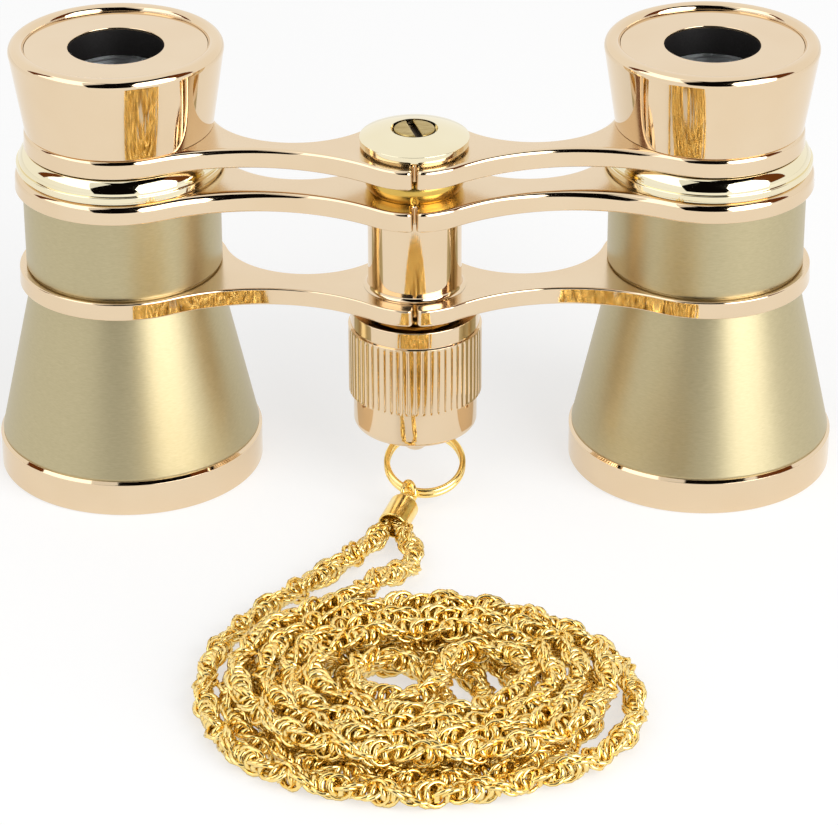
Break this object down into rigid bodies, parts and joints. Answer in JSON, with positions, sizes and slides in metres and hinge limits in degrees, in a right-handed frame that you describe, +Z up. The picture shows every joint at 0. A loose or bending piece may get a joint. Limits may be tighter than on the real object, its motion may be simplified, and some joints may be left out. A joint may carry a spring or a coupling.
{
  "type": "opera glasses",
  "caption": "Compact centre-focus opera glasses: flared eyepieces on a sliding bridge, tapered barrels, fluted focus knob and a coiled rope chain on a split ring.",
  "frame": {"origin": "on the surface the rims stand on, midway between the barrel axes", "axes": "+X from the left barrel to the right one as the picture shows them, +Z up along the barrels towards the eyepieces, -Y towards the coiled chain"},
  "size_m": [0.0904, 0.0849, 0.0486],
  "materials": {
    "rose_gold": "polished rose-gold plate",
    "champagne_satin": "satin champagne",
    "yellow_gold": "polished pale yellow gold plate",
    "antique_brass": "satin antique brass",
    "gold_chain": "polished yellow gold plate",
    "black_paint": "matt black",
    "lens_glass": "polished optical glass",
    "black_felt": "felt",
    "turned_brass": "turned"
  },
  "bodies": {
    "frame": {"left_objective_rim": "rose_gold", "left_objective_cone": "champagne_satin", "left_objective_lens": "lens_glass", "left_objective_retainer": "black_paint", "left_upper_sleeve": "champagne_satin", "left_guide_collar": "yellow_gold", "left_felt_bush": "black_felt", "right_objective_rim": "rose_gold", "right_objective_cone": "champagne_satin", "right_objective_lens": "lens_glass", "right_objective_retainer": "black_paint", "right_upper_sleeve": "champagne_satin", "right_guide_collar": "yellow_gold", "right_felt_bush": "black_felt", "lower_plate": "rose_gold", "middle_plate": "rose_gold", "centre_column": "rose_gold", "centre_bush": "yellow_gold", "thrust_washer": "turned_brass"},
    "ocular": {"left_eyepiece_cup": "rose_gold", "left_eyepiece_insert": "rose_gold", "left_draw_tube": "turned_brass", "left_lens_cell": "black_paint", "left_eye_lens": "lens_glass", "left_eye_lens_ring": "black_paint", "right_eyepiece_cup": "rose_gold", "right_eyepiece_insert": "rose_gold", "right_draw_tube": "turned_brass", "right_lens_cell": "black_paint", "right_eye_lens": "lens_glass", "right_eye_lens_ring": "black_paint", "top_plate": "rose_gold", "bridge_cap": "yellow_gold", "cap_screw": "antique_brass", "focus_rod": "turned_brass"},
    "knob": {"focus_knob": "rose_gold", "focus_nut": "turned_brass", "retaining_clip": "turned_brass"},
    "chain": {"chain_stud": "gold_chain", "split_ring": "gold_chain", "ferrule": "gold_chain", "chain_lead_left": "gold_chain", "chain_lead_right": "gold_chain", "chain_coil": "gold_chain"}
  },
  "joints": [
    {"name": "focus_turn", "type": "hinge", "parent": "frame", "child": "knob", "pos_m": [0, -0.006, 0.0141], "axis": [0, 0, 1], "range_deg": [0, 540]},
    {"name": "focus_travel", "type": "slide", "parent": "frame", "child": "ocular", "axis": [0, 0, 1], "range_m": [0, 0.006]},
    {"name": "chain_swivel", "type": "hinge", "parent": "frame", "child": "chain", "pos_m": [0, -0.006, 0.0051], "axis": [0, 0, 1], "range_deg": [-35, 35]}
  ],
  "couplings": [
    {"joint": "focus_travel", "follows": "focus_turn", "m_per_rad": 0.000636}
  ]
}
